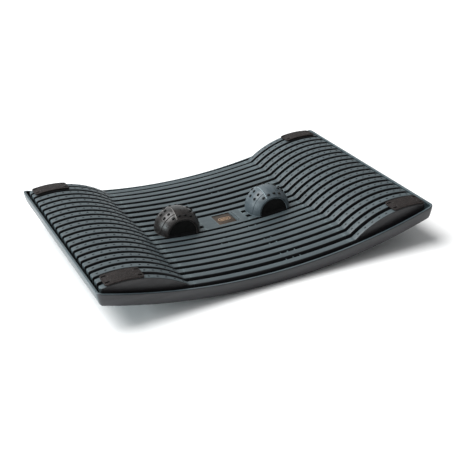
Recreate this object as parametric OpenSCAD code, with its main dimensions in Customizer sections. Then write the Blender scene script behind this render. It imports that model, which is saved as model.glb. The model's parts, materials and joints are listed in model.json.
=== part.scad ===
// Rocking balance board: a shallow curved tray that rocks on the floor, a dished
// deck of parallel bars and two raised foot pillows screwed into it, four rubber
// corner pads and two lift-off massage domes.
// X runs along the board's length (the rocking direction), Y across it, Z up.
// The origin is on the floor under the middle of the board.

/* [Board] */
// Length of the board
board_length = 505; // [490:1:520]
// Number of bars across the deck (odd)
bar_count = 21; // [19:2:23]
// Distance between bar centres
bar_pitch = 16; // [15.5:0.1:16.5]
// Width of one bar
bar_w = 10.8; // [10:0.1:11.5]
// From the deck's outer edge to the outside of the rim
edge_gap = 9.6; // [8:0.1:12]

/* [Rocker tray] */
// Radius of the tray's curved underside
tray_r = 842; // [800:1:950]
// Radius of the curve of the tray's rim
rim_arc_r = 852; // [800:1:950]
// Height of the tray wall
rim_h = 19.6; // [18:0.1:24]
// How far the wall leans in over its height
wall_draft = 3.2; // [1:0.1:5]
// Thickness of the tray wall
wall_t = 2.4; // [2:0.1:3]
// Thickness of the tray floor
floor_t = 3; // [2.4:0.1:4]
// Radius of the tray's corners seen from above
corner_r = 8; // [6:0.5:10]
// Radius along the tray's lower edge
edge_r = 3.5; // [3:0.5:5]
// How far the runner strips stand proud of the underside
runner_proud = 0.6; // [0.4:0.1:1]

/* [Deck] */
// Radius of the dished middle of the deck
dish_r = 1000; // [900:10:1200]
// How far the dish stands above the rim at the middle of the board
dish_lift = 1.9; // [1:0.1:4]
// Height of the two soft crowns across the dish
crown_h = 3.1; // [0:0.1:4]
// How far the outermost bars sit below the others
edge_drop = 0.8; // [0:0.1:1.5]
// Thickness of a bar
bar_t = 7; // [6:0.1:8]

/* [Foot pillows] */
// Radius of a pillow's arch
pillow_r = 148; // [144:1:152]
// Distance of a pillow's crest from the middle of the board
pillow_x = 216; // [210:1:220]
// Height of a pillow's crest above the floor
pillow_top = 62; // [58:0.5:64]
// Radius at the outer end of a bar
bar_end_r = 4.5; // [4:0.5:6]

/* [Massage domes] */
// Radius of a dome
dome_r = 33.5; // [30:0.5:36]
// Distance of a dome from the middle of the board
dome_x = 74.3; // [70:0.1:80]
// Half the depth of a dome between its two open faces
dome_half_depth = 23; // [20:0.5:24]
// Thickness of a dome's shell
dome_shell_t = 2.2; // [1.8:0.1:3]

/* [Pads and badge] */
// Length and width of a corner pad
pad_size = [52, 26]; // [20:1:60]
// Thickness of a corner pad
pad_t = 2.2; // [1.5:0.1:3]
// Length and width of the badge
badge_size = [28.4, 30.4]; // [20:0.2:34]

/* [Hidden] */
$fn = 96;
FRONT = -1;
BACK = 1;
LEFT = -1;
RIGHT = 1;

// Plan sizes worked out from the bars
half_len = board_length / 2;
deck_half_w = (bar_count - 1) / 2 * bar_pitch + bar_w / 2;
half_w = deck_half_w + edge_gap;
deck_half_len = half_len - edge_gap + 1.5;
slot_w = bar_pitch - bar_w;

// Rocking axis: the centre of the underside's arc, straight above the origin
axis_z = tray_r + runner_proud;
floor_r = tray_r - floor_t;
draft_a = atan(wall_draft / rim_h);
function arc_z(r, x) = axis_z - sqrt(r * r - x * x);

// The rim follows an arc of its own, rim_h above the underside at the middle
rim_mid_z = runner_proud + rim_h;
rim_axis_z = rim_mid_z + rim_arc_r;
rim_end_z = rim_axis_z - sqrt(rim_arc_r * rim_arc_r - half_len * half_len);

// Dished deck: an arc whose lowest point is just above the rim
dish_z = rim_mid_z + dish_lift + dish_r;
crown_wave = 214;
function bar_y(i) = (i - (bar_count - 1) / 2) * bar_pitch;
function drop(y) = abs(y) > deck_half_w - bar_pitch ? edge_drop : 0;
function crown(y) = abs(y) < 1.5 * bar_pitch ? 0
    : crown_h * pow(sin(180 * abs(y) / crown_wave), 2) - drop(y);

// Pillow arch and the rounded end of its bars
pillow_z = pillow_top - pillow_r;
end_x = deck_half_len - bar_end_r;
end_a = asin((end_x - pillow_x) / (pillow_r - bar_end_r));
end_z = pillow_z + (pillow_r - bar_end_r) * cos(end_a);
pillow_start_x = 121;
dish_end_x = 132;

// Flat middle panel between the domes
panel_half_len = 35;
panel_half_w = bar_pitch + bar_w / 2;
badge_pos = [3, 1.5];
badge_t = 1.2;
badge_recess = 1.8;
badge_gap = 0.5;

// Line across the board where the deck's middle meets the pillows
joint_x = 120;
joint_gap = 0.3;

// Ribs under the bars and the small ties that cross the slots
rib_t = 2.4;
dish_rib_xs = [0, 46, 84, joint_x - rib_t];
pillow_rib_xs = [joint_x + rib_t, 150, 196, 232];
rib_below_top = bar_t - 1.2;
ties_right = [[0, 3], [1, 3], [3, 2], [4, 2], [7, 2], [8, 1], [15, 2], [16, 2], [18, 2], [19, 2]];
ties_left = [[5, 2], [6, 1], [14, 2]];
tie_first_x = 24;
tie_step = 11;
tie_t = 1.4;
tie_below_top = 1.5;
floor_gap = 0.3;

// Lip and side webs that close the outer end of a bar
lip_t = 2.8;
lip_h = 2.5;
web_t = 1.5;
web_l = 6;
end_foot_z = arc_z(floor_r, deck_half_len) + floor_gap;

// Screws that hold the deck down
screw_spots = [[56, 96], [176, 96]];
screw_shaft_r = 1.75;
screw_head_r = 3.6;
screw_head_h = 2.4;
screw_head_deep = 1;
screw_reach = 12;
boss_r = 5.8;
boss_h = 4;
pilot_gap = 0.05;

// Runner strips under the tray
runner_w = 16;
runner_y = 120;
runner_half_len = 205;
runner_deep = 1.2;

// Studs along the bars of the pillows
stud_first_x = 133.5;
stud_step = 11.5;
stud_count = 10;
stud_r = 1.1;
stud_proud = 0.8;
stud_root = 1.6;

// Corner pads: the front two sit a little further right
function pad_x(sx, sy) = sx * 214.5 + (sy < 0 ? 2.2 : 0);
pad_y = ((bar_count - 1) / 2 - 0.5) * bar_pitch;
pad_corner_r = 4;
pad_lean_a = atan(edge_drop / bar_pitch);
pad_lift = 0.35;
pad_slot = [5.6, 1.7];
pad_slot_pos = [21.5, 7.5];
pad_rivet_pos = [16.5, 5];
pad_rivet_r = 0.9;

// Domes: a dome's own frame has its origin at the sphere's centre
dome_above = 1.6;
dome_a = asin(dome_x / (dish_r - dome_above));
dome_clear = 0.2;
core_gap = 0.3;
core_recess = 1.4;
dome_base_t = 2.6;
ridge_x = 9;
ridge_w = 1;
ridge_h = 0.45;
groove_y = 13.4;
groove_w = 0.8;
groove_deep = 0.6;
dome_stud_r = 1.35;
dome_stud_proud = 1.1;
dome_stud_rows = [[-18.2, [-28, -9.5, 9.5, 28]], [-8.2, [-46, -31, 31, 46]], [3.6, [-46, -31, 31, 46]],
                  [16, [-28, -9.5, 9.5, 28]]];
tongue = [36, 4.4, 5.2];
dome_screw_x = 22;
dome_boss_r = 3;
dome_screw_r = 1.3;
dome_screw_head = [2.5, 1.4];
dome_screw_len = 8;

// ---- shared shapes ----

module both_sides() {
    children();
    mirror([1, 0, 0]) children();
}

module four_ways() {
    both_sides() {
        children();
        mirror([0, 1, 0]) children();
    }
}

// Turns a revolved shape so that its axis runs along Y and its angles run from +X to +Z
module about_y(x, z) {
    translate([x, 0, z]) rotate([90, 0, 0]) children();
}

// Extrudes a drawing made in the XZ plane, centred on Y = y
module across(y, depth) {
    translate([0, y + depth / 2, 0]) rotate([90, 0, 0]) linear_extrude(depth) children();
}

module rounded_rect(length, width, r) {
    square([length - 2 * r, width], center = true);
    square([length, width - 2 * r], center = true);
    for (sx = [-1, 1], sy = [-1, 1])
        translate([sx * (length / 2 - r), sy * (width / 2 - r)]) circle(r);
}

// Arched strip of width w whose two outer edges are rounded
module arch(r_in, r_out, w, edge, a0, a1) {
    rotate([0, 0, a0]) rotate_extrude(angle = a1 - a0) {
        translate([r_in, -w / 2]) square([r_out - r_in - edge, w]);
        translate([r_in, -w / 2 + edge]) square([r_out - r_in, w - 2 * edge]);
        for (s = [-1, 1]) translate([r_out - edge, s * (w / 2 - edge)]) circle(edge, $fn = 32);
    }
}

// ---- tray ----

// Outline across the tray, in (radius, y): drafted walls and rounded lower edges
module tray_section(inset, floor, edge) {
    r_floor = tray_r - floor;
    r_rim = tray_r - rim_h;
    r_top = r_rim - 12;
    half = half_w - inset;
    r_c = r_floor - edge;
    y_c = half - (r_c - r_rim) * tan(draft_a) - edge / cos(draft_a);
    for (s = [-1, 1]) {
        polygon([[r_top, 0], [r_top, s * half], [r_rim, s * half],
                 [r_c + edge * sin(draft_a), s * (y_c + edge * cos(draft_a))], [r_c, s * y_c],
                 [r_floor, s * y_c], [r_floor, 0]]);
        translate([r_c, s * y_c]) circle(edge, $fn = 48);
    }
}

// Outline along the tray, in (x, z): drafted ends and rounded lower corners
module tray_profile(inset, floor, edge) {
    half = half_len - inset;
    r_c = tray_r - floor - edge;
    reach = (half * cos(draft_a) + (axis_z - rim_end_z) * sin(draft_a) - edge) / r_c;
    a = asin(reach) - draft_a;
    c = [r_c * sin(a), axis_z - r_c * cos(a)];
    for (s = [-1, 1]) {
        polygon([[0, 90], [s * half, 90], [s * half, rim_end_z],
                 [s * (c[0] + edge * cos(draft_a)), c[1] - edge * sin(draft_a)], [s * c[0], c[1]],
                 [s * (c[0] + 20 * sin(a)), c[1] - 20 * cos(a)], [0, -20]]);
        translate([s * c[0], c[1]]) circle(edge, $fn = 48);
    }
}

module tray_block(inset, floor, edge) {
    span_a = 20;
    intersection() {
        about_y(0, axis_z) rotate([0, 0, -90 - span_a]) rotate_extrude(angle = 2 * span_a, $fn = 720)
            tray_section(inset, floor, edge);
        across(0, 2 * half_w + 10) tray_profile(inset, floor, edge);
        translate([0, 0, -1]) linear_extrude(100)
            rounded_rect(board_length - 2 * inset, 2 * (half_w - inset), corner_r - inset);
    }
}

module runner_arc(r_in, r_out, w, half_l) {
    a = asin(half_l / tray_r);
    about_y(0, axis_z) rotate([0, 0, -90 - a]) rotate_extrude(angle = 2 * a, $fn = 720)
        translate([r_in, -w / 2]) square([r_out - r_in, w]);
}

function head_z(x) = arc_z(tray_r, x - screw_head_r) + screw_head_deep;

module base_tray() color([0.25, 0.26, 0.28]) difference() {
    union() {
        difference() {
            tray_block(0, 0, edge_r);
            tray_block(wall_t, floor_t, edge_r - 2);
            about_y(0, rim_axis_z) cylinder(r = rim_arc_r, h = 3 * half_w, center = true, $fn = 720);
        }
        for (p = screw_spots) four_ways()
            translate([p[0], p[1], arc_z(floor_r, p[0]) - 1]) cylinder(r = boss_r, h = boss_h + 1);
    }
    for (p = screw_spots) four_ways() translate([p[0], p[1], 0]) {
        cylinder(r = screw_shaft_r + 0.25, h = 60);
        translate([0, 0, -10]) cylinder(r = screw_head_r + 0.4, h = head_z(p[0]) + screw_head_h + 10);
    }
    for (s = [-1, 1]) translate([0, s * runner_y, 0])
        runner_arc(tray_r - runner_deep, tray_r + 2, runner_w, runner_half_len);
}

module runner_strip(side) color([0.08, 0.08, 0.09]) translate([0, side * runner_y, 0])
    runner_arc(tray_r - runner_deep, axis_z, runner_w - 0.4, runner_half_len - 0.4);

module runner_strip_front() runner_strip(FRONT);
module runner_strip_back() runner_strip(BACK);

module deck_screws() color([0.6, 0.6, 0.62]) for (p = screw_spots) four_ways()
    translate([p[0], p[1], head_z(p[0])]) {
        cylinder(r = screw_head_r, h = screw_head_h);
        cylinder(r = screw_shaft_r, h = arc_z(floor_r, p[0]) + boss_h + screw_reach - head_z(p[0]));
    }

// ---- deck ----

// Outline of a bar in (x, z): dished middle, a pillow arch and a rounded nose at each end
module bar_outline(lift, sink) {
    difference() {
        intersection() {
            translate([0, dish_z + lift]) circle(dish_r + bar_t, $fn = 720);
            translate([-dish_end_x, 0]) square([2 * dish_end_x, 60]);
        }
        translate([0, dish_z + lift]) circle(dish_r, $fn = 720);
    }
    for (side = [LEFT, RIGHT]) {
        intersection() {
            translate([side * pillow_x, pillow_z - sink]) difference() {
                circle(pillow_r, $fn = 240);
                circle(pillow_r - bar_t, $fn = 240);
            }
            translate([side * (end_x + pillow_start_x) / 2, 40])
                square([end_x - pillow_start_x, 60], center = true);
        }
        translate([0, -sink]) scale([side, 1]) bar_nose();
    }
}

module bar_nose() {
    in_x = deck_half_len - lip_t;
    polygon([[end_x - 1, end_z + 1], [end_x - 1, end_z + bar_end_r - 2],
             for (a = [84:-14:0]) [end_x + bar_end_r * cos(a), end_z + bar_end_r * sin(a)],
             [deck_half_len, end_z - lip_h], [in_x, end_z - lip_h], [in_x, end_z + 1]]);
}

module bar(y) across(y, bar_w) bar_outline(crown(y), drop(y));

// The two webs that carry the outer end of every bar down to the tray floor
module end_webs() both_sides() for (i = [0:bar_count - 1], s = [-1, 1])
    translate([deck_half_len - web_l - 0.5, bar_y(i) + s * (bar_w - web_t - 0.6) / 2 - web_t / 2, end_foot_z])
        cube([web_l, web_t, end_z + 1 - end_foot_z]);

module panel() across(0, 2 * panel_half_w) intersection() {
    bar_outline(0, 0);
    translate([-panel_half_len, 0]) square([2 * panel_half_len, 60]);
}

// Outline of the space between the tray floor and a curve below the top of the bars
module under_deck(below) intersection() {
    translate([0, axis_z]) circle(floor_r - floor_gap, $fn = 720);
    union() {
        difference() {
            translate([-half_len, 0]) square([board_length, 60]);
            translate([0, dish_z]) circle(dish_r + below, $fn = 720);
        }
        for (s = [-1, 1]) intersection() {
            translate([s * pillow_x, pillow_z]) circle(pillow_r - below, $fn = 240);
            translate([s > 0 ? pillow_start_x : -deck_half_len + 1, 0])
                square([deck_half_len - 1 - pillow_start_x, 80]);
        }
    }
}

// Cross ribs: those under the dish follow its crowns, those under the pillows are level
module ribs() {
    across(0, 2 * deck_half_w - 2) intersection() {
        under_deck(rib_below_top);
        for (x = pillow_rib_xs, s = [-1, 1]) translate([s * x - rib_t / 2, 0]) square([rib_t, 80]);
    }
    for (x = dish_rib_xs, s = x == 0 ? [1] : [-1, 1]) dish_rib(s * x);
}

module dish_rib(x) {
    foot_z = arc_z(floor_r, x + sign(x) * rib_t / 2) + floor_gap;
    top_z = dish_z - sqrt(dish_r * dish_r - x * x) - rib_below_top;
    end_y = deck_half_w - 1;
    translate([x - rib_t / 2, 0, 0]) rotate([90, 0, 90]) linear_extrude(rib_t)
        polygon([[-end_y, foot_z], for (i = [0:bar_count - 1]) let (y = bar_y(i), h = bar_pitch / 2)
                 each [[max(y - h, -end_y), top_z + crown(y)], [min(y + h, end_y), top_z + crown(y)]],
                 [end_y, foot_z]]);
}

module skirt(side) {
    t = 2.4;
    across(side * (deck_half_w - 0.4 - t / 2), t) intersection() {
        under_deck(edge_drop + 1.2);
        for (s = [-1, 1]) translate([s > 0 ? 128 : -deck_half_len + 0.6, 0])
            square([deck_half_len - 0.6 - 128, 80]);
    }
}

// Ties in one slot, from row = [the bar in front of the slot, how many ties]
module slot_ties(row, side) for (k = [0:row[1] - 1]) {
    x = side * (tie_first_x + k * tie_step);
    y = bar_y(row[0]) + bar_pitch / 2;
    z = dish_z - sqrt(dish_r * dish_r - x * x) + min(crown(bar_y(row[0])), crown(bar_y(row[0] + 1)));
    translate([x - tie_t / 2, y - slot_w / 2 - 1, z - bar_t + 1])
        cube([tie_t, slot_w + 2, bar_t - 1 - tie_below_top]);
}

module ties() {
    for (row = ties_right) slot_ties(row, RIGHT);
    for (row = ties_left) slot_ties(row, LEFT);
}

module bosses(r, drop) for (p = screw_spots) four_ways() {
    z0 = arc_z(floor_r, p[0]) + boss_h + drop;
    z1 = p[0] < pillow_start_x ? dish_z - sqrt(dish_r * dish_r - p[0] * p[0]) - 1
       : pillow_z + sqrt(pow(pillow_r, 2) - pow(p[0] - pillow_x, 2)) - 3;
    translate([p[0], p[1], z0]) cylinder(r = r, h = z1 - z0);
}

module badge_cut() translate([badge_pos[0], badge_pos[1], dish_z - dish_r])
    linear_extrude(2 * badge_recess, center = true)
    rounded_rect(badge_size[0] + badge_gap, badge_size[1] + badge_gap, 1);

// Small raised rule and groove beside the badge
module panel_rule() translate([badge_pos[0] + badge_size[0] / 2 + 2, badge_pos[1], dish_z - dish_r])
    cube([1.2, badge_size[1], 1.2], center = true);
module panel_groove() translate([badge_pos[0] + badge_size[0] / 2 + 4.6, badge_pos[1], dish_z - dish_r])
    cube([1, badge_size[1] - 4, 1.2], center = true);

module bar_field() {
    for (i = [0:bar_count - 1]) bar(bar_y(i));
    ribs();
    skirt(FRONT);
    skirt(BACK);
    end_webs();
    bosses(boss_r - 1, 0.2);
}

module pilot_holes() for (p = screw_spots) four_ways() translate([p[0], p[1], arc_z(floor_r, p[0])])
    cylinder(r = screw_shaft_r + pilot_gap, h = boss_h + screw_reach + 1);

// Block that holds everything between two places along the board
module stretch(x0, x1) translate([x0, -half_w, 0]) cube([x1 - x0, 2 * half_w, 100]);

module top_deck() color([0.42, 0.48, 0.5]) difference() {
    union() {
        intersection() {
            bar_field();
            stretch(-joint_x + joint_gap / 2, joint_x - joint_gap / 2);
        }
        panel();
        panel_rule();
        ties();
    }
    badge_cut();
    panel_groove();
    pilot_holes();
}

module right_pillow() color([0.42, 0.48, 0.5]) difference() {
    intersection() {
        bar_field();
        stretch(joint_x + joint_gap / 2, half_len);
    }
    pilot_holes();
}

module left_pillow() mirror([1, 0, 0]) right_pillow();

module badge_plate() color([0.45, 0.32, 0.24])
    translate([badge_pos[0], badge_pos[1], dish_z - dish_r - badge_recess])
    linear_extrude(badge_t) rounded_rect(badge_size[0], badge_size[1], 0.8);

// One rubber stud standing on a pillow's arch
module stud(x, y) {
    crest_x = sign(x) * pillow_x;
    a = asin((x - crest_x) / pillow_r);
    translate([crest_x, y, pillow_z - drop(y)]) rotate([0, a, 0]) translate([0, 0, pillow_r - stud_root])
        rotate_extrude($fn = 24) {
            square([stud_r, stud_root + stud_proud - stud_r * 0.5]);
            square([stud_r * 0.5, stud_root + stud_proud]);
            translate([stud_r * 0.5, stud_root + stud_proud - stud_r * 0.5]) circle(stud_r * 0.5);
        }
}

function under_pad(x, y) = abs(abs(y) - pad_y) < pad_size[1] / 2
    && abs(x - pad_x(sign(x), sign(y))) < pad_size[0] / 2 + 2;

module studs(side) color([0.1, 0.11, 0.12]) for (i = [0:bar_count - 1], k = [0:stud_count - 1]) {
    x = side * (stud_first_x + k * stud_step);
    if (!under_pad(x, bar_y(i))) stud(x, bar_y(i));
}

module left_studs() studs(LEFT);
module right_studs() studs(RIGHT);

// ---- corner pads ----

module grip_pad(sx, sy) color([0.2, 0.18, 0.17]) difference() {
    intersection() {
        pad_lean(sx, sy) about_y(0, pillow_z)
            arch(pillow_r, pillow_r + pad_t, pad_size[1], 0.8, 70, 110, $fn = 240);
        translate([pad_x(sx, sy), sy * pad_y, 0]) linear_extrude(90)
            rounded_rect(pad_size[0], pad_size[1], pad_corner_r);
    }
    for (dx = [-1, 1], dy = [-1, 1])
        translate([pad_x(sx, sy) + dx * pad_slot_pos[0], sy * pad_y + dy * pad_slot_pos[1], 0])
        linear_extrude(90) rounded_rect(pad_slot[0], pad_slot[1], 0.8);
    for (dx = [-1, 1], dy = [-1, 1]) pad_rivet_at(sx, sy, dx, dy, pad_rivet_r + 0.05);
}

// A pad leans outwards a little, because the outermost bar it lies on is the lower one
module pad_lean(sx, sy) translate([sx * pillow_x, sy * pad_y, pillow_top - edge_drop / 2 + pad_lift])
    rotate([-sy * pad_lean_a, 0, 0]) translate([0, 0, -pillow_top]) children();

module pad_rivet_at(sx, sy, dx, dy, r) {
    a = asin((pad_x(sx, sy) + dx * pad_rivet_pos[0] - sx * pillow_x) / pillow_r);
    pad_lean(sx, sy) translate([0, dy * pad_rivet_pos[1], pillow_z]) rotate([0, a, 0])
        translate([0, 0, pillow_r + 0.1]) cylinder(r = r, h = pad_t + 0.15, $fn = 32);
}

module grip_pad_front_left() grip_pad(LEFT, FRONT);
module grip_pad_front_right() grip_pad(RIGHT, FRONT);
module grip_pad_back_left() grip_pad(LEFT, BACK);
module grip_pad_back_right() grip_pad(RIGHT, BACK);

module pad_rivets() color([0.7, 0.7, 0.7])
    for (sx = [-1, 1], sy = [-1, 1], dx = [-1, 1], dy = [-1, 1]) pad_rivet_at(sx, sy, dx, dy, pad_rivet_r);

// ---- massage domes ----

module dome_place(side) translate([0, 0, dish_z]) rotate([0, -side * dome_a, 0])
    translate([0, 0, -(dish_r - dome_above)]) children();

// Everything above the deck's dish, in the dome's own frame
module above_dish(clear) translate([0, 0, dish_r - dome_above]) rotate([90, 0, 0])
    cylinder(r = dish_r - clear, h = 100, center = true, $fn = 720);

module ball(r) sphere(r, $fn = 144);

module ball_slice(r, half) intersection() {
    ball(r);
    cube([3 * dome_r, 2 * half, 3 * dome_r], center = true);
}

module dome_studs(r, r0, r1) for (row = dome_stud_rows, a = row[1]) {
    tilt = asin(row[0] / dome_r);
    rotate([0, a, 0]) rotate([-tilt, 0, 0]) translate([0, 0, r0]) cylinder(r = r, h = r1 - r0, $fn = 32);
}

module dome_shell() difference() {
    union() {
        difference() {
            union() {
                ball_slice(dome_r, dome_half_depth);
                for (s = [-1, 1]) intersection() {
                    ball_slice(dome_r + ridge_h, dome_half_depth);
                    translate([s * ridge_x, 0, dome_r / 2]) cube([ridge_w, 2 * dome_r, dome_r + 10], center = true);
                }
            }
            ball_slice(dome_r - dome_shell_t, dome_half_depth + 1);
        }
        intersection() {
            ball_slice(dome_r - dome_shell_t / 2, dome_half_depth - 4);
            for (s = [-1, 1]) translate([s * dome_screw_x, 0, dome_base_t - dome_above + dome_clear + 0.5])
                cylinder(r = dome_boss_r, h = dome_r);
        }
    }
    // Parting grooves beside the ridges
    for (sx = [-1, 1], sy = [-1, 1]) difference() {
        translate([sx * (ridge_x + 30.5), sy * groove_y, 0]) cube([60, groove_w, 3 * dome_r], center = true);
        ball(dome_r - groove_deep);
    }
    dome_studs(dome_stud_r + 0.1, dome_r - dome_shell_t - 2, dome_r + 3);
    for (s = [-1, 1]) translate([s * dome_screw_x, 0, -5]) cylinder(r = dome_screw_r + pilot_gap, h = 5 + dome_screw_len);
}

module dome_core() difference() {
    union() {
        ball_slice(dome_r - dome_shell_t - core_gap, dome_half_depth - core_recess);
        dome_studs(dome_stud_r, dome_r - dome_shell_t - 3, dome_r + dome_stud_proud);
    }
    for (s = [-1, 1]) translate([s * dome_screw_x, 0, -10]) cylinder(r = dome_boss_r + core_gap, h = 2 * dome_r);
    above_base(core_gap) cube(4 * dome_r, center = true);
}

// The slab of space under a dome's core
module above_base(gap) difference() {
    children();
    above_dish(dome_clear + dome_base_t + gap);
}

module dome_base() difference() {
    union() {
        intersection() {
            ball_slice(dome_r - dome_shell_t - core_gap, dome_half_depth - core_recess - 0.4);
            difference() {
                above_dish(dome_clear);
                above_dish(dome_clear + dome_base_t);
            }
        }
        for (s = [-1, 1]) translate([0, s * bar_pitch / 2, -dome_above + 1.4 - tongue[2] - 1.4])
            linear_extrude(tongue[2] + 1.4) rounded_rect(tongue[0], tongue[1], 1.6);
    }
    for (s = [-1, 1]) translate([s * dome_screw_x, 0, -10]) {
        cylinder(r = dome_screw_r + 0.2, h = 20);
        cylinder(r = dome_screw_head[0] + 0.2, h = 10 - dome_above + dome_clear + 0.4 + dome_screw_head[1]);
    }
}

module dome_screws() for (s = [-1, 1]) translate([s * dome_screw_x, 0, -dome_above + dome_clear + 0.6]) {
    cylinder(r = dome_screw_head[0], h = dome_screw_head[1] - 0.2);
    cylinder(r = dome_screw_r, h = dome_screw_len);
}

module shell_of(side) dome_place(side) intersection() {
    dome_shell();
    above_dish(dome_clear);
}

module left_dome_shell() color([0.16, 0.14, 0.13]) shell_of(LEFT);
module left_dome_core() color([0.04, 0.04, 0.04]) dome_place(LEFT) dome_core();
module left_dome_base() color([0.06, 0.06, 0.07]) dome_place(LEFT) dome_base();
module left_dome_screws() color([0.6, 0.6, 0.62]) dome_place(LEFT) dome_screws();
module right_dome_shell() color([0.42, 0.46, 0.52]) shell_of(RIGHT);
module right_dome_core() color([0.04, 0.04, 0.04]) dome_place(RIGHT) dome_core();
module right_dome_base() color([0.06, 0.06, 0.07]) dome_place(RIGHT) dome_base();
module right_dome_screws() color([0.6, 0.6, 0.62]) dome_place(RIGHT) dome_screws();

base_tray();
runner_strip_front();
runner_strip_back();
deck_screws();
top_deck();
left_pillow();
right_pillow();
left_studs();
right_studs();
badge_plate();
grip_pad_front_left();
grip_pad_front_right();
grip_pad_back_left();
grip_pad_back_right();
pad_rivets();
left_dome_shell();
left_dome_core();
left_dome_base();
left_dome_screws();
right_dome_shell();
right_dome_core();
right_dome_base();
right_dome_screws();
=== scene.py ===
import json
import math

import bmesh
import bpy
from mathutils import Matrix, Vector


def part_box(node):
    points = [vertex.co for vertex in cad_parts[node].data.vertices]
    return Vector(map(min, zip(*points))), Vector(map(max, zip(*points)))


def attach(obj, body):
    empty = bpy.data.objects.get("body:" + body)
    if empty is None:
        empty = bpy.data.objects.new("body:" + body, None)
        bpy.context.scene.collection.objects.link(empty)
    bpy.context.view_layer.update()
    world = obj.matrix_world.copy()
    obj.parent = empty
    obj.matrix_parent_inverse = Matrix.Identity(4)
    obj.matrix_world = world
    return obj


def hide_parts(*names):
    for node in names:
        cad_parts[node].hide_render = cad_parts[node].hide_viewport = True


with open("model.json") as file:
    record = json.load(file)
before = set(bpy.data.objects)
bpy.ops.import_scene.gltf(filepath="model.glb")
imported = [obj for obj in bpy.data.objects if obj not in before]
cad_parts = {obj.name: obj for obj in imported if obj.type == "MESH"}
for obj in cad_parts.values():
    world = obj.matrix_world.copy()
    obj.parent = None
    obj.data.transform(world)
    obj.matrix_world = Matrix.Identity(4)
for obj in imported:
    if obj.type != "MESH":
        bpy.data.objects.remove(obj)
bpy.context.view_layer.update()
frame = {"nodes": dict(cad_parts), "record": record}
SCENE = bpy.context.scene
NODES = frame["nodes"]
MM = 0.001


def corners(node):
    """Lowest and highest corner of a CAD node, in millimetres."""
    low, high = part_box(node)
    return low / MM, high / MM


# ---- sizes of the board, in millimetres, from the frame ----

DECK_HIGH = corners("top_deck")[1]
PILLOW_LOW, PILLOW_HIGH = corners("right_pillow")
BADGE_LOW, BADGE_HIGH = corners("badge_plate")
DECK_HALF_W = DECK_HIGH.y
DECK_HALF_LEN = PILLOW_HIGH.x
JOINT_X = DECK_HIGH.x
JOINT_GAP = PILLOW_LOW.x - DECK_HIGH.x
PILLOW_TOP = PILLOW_HIGH.z

# Bars: SLOT_EXTRA is taken off each side, the two outermost bars lie lower by EDGE_DROP
BAR_COUNT = 21
BAR_PITCH = 16
MIDDLE_BAR = (BAR_COUNT - 1) / 2
BAR_W = 2 * (DECK_HALF_W - MIDDLE_BAR * BAR_PITCH)
BAR_T = 7
BAR_CROWN = 0.15
BAR_FOOT = 0.5
SLOT_EXTRA = 0.45
EDGE_R = 0.8
OUTER_EDGE_R = 1.1
EDGE_DROP = 0.8

# Dished middle: an arc with two soft crowns across it
BADGE_RECESS = 1.8
DISH_R = 1000
DISH_Z = BADGE_LOW.z + BADGE_RECESS + DISH_R
CROWN_H = 3.1
CROWN_WAVE = 214

# Pillow arch and the rounded end of its bars
PILLOW_R = 148
PILLOW_X = 216
PILLOW_Z = PILLOW_TOP - PILLOW_R
NOSE_R = 2.6
BAR_END = DECK_HALF_LEN + 0.7
NOSE_X = BAR_END - NOSE_R
NOSE_A = math.asin((NOSE_X - PILLOW_X) / (PILLOW_R - NOSE_R))
NOSE_Z = PILLOW_Z + (PILLOW_R - NOSE_R) * math.cos(NOSE_A)
LIP_T = 2.8
LIP_H = 2.6
TAPER_START = PILLOW_X + 14
VALLEY_SEARCH = (118.0, 145.0)
VALLEY_FILLET = 1.2
CORNER_R = 4.5
MAX_INSET = CORNER_R * 0.8

# Tray floor under the deck
AXIS_Z = 842.6
FLOOR_R = 839
FLOOR_GAP = 0.3

# Middle panel: the bars nearer the middle than PANEL_ZONE stop at its ends
PANEL_ZONE = 1.5 * BAR_PITCH
PANEL_HALF_LEN = 35
PANEL_HALF_W = BAR_PITCH + BAR_W / 2
PANEL_EDGE = 0.6


def bar_y(index):
    return (index - MIDDLE_BAR) * BAR_PITCH


def is_outermost(y):
    return abs(y) > DECK_HALF_W - BAR_PITCH


def drop(y):
    return EDGE_DROP if is_outermost(y) else 0


def crown(y):
    if abs(y) < PANEL_ZONE:
        return 0
    return CROWN_H * math.sin(math.pi * abs(y) / CROWN_WAVE) ** 2 - drop(y)


def dish_height(x, y):
    return DISH_Z + crown(y) - math.sqrt(DISH_R ** 2 - x * x)


def pillow_height(x, y):
    return PILLOW_Z - drop(y) + math.sqrt(PILLOW_R ** 2 - (x - PILLOW_X) ** 2)


def tray_floor(x):
    return AXIS_Z - math.sqrt(FLOOR_R ** 2 - x * x)


def floor_height(x):
    """Height at which the deck's ribs, webs and skirts end, just over the tray's floor."""
    return tray_floor(x) + FLOOR_GAP


# ---- camera ----

CAMERA_PLACE = (-0.5202, -1.1275, 0.6420)
CAMERA_ANGLES = (25.59, 26.90, -1.82)
SENSOR_W = 36
LENS = 71.38


def add_camera():
    """Camera from its place and its azimuth, elevation and roll in degrees."""
    azimuth, elevation, roll = (math.radians(angle) for angle in CAMERA_ANGLES)
    forward = Vector((math.sin(azimuth) * math.cos(elevation),
                      math.cos(azimuth) * math.cos(elevation),
                      -math.sin(elevation)))
    level = Vector((math.cos(azimuth), -math.sin(azimuth), 0))
    upright = level.cross(forward)
    right = level * math.cos(roll) + upright * math.sin(roll)
    up = upright * math.cos(roll) - level * math.sin(roll)
    camera = bpy.data.objects.new("camera", bpy.data.cameras.new("camera"))
    camera.data.sensor_width = SENSOR_W
    camera.data.lens = LENS
    turn = Matrix((right, up, -forward)).transposed().to_4x4()
    camera.matrix_world = Matrix.Translation(CAMERA_PLACE) @ turn
    SCENE.collection.objects.link(camera)
    SCENE.camera = camera


# ---- light and floor ----

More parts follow.
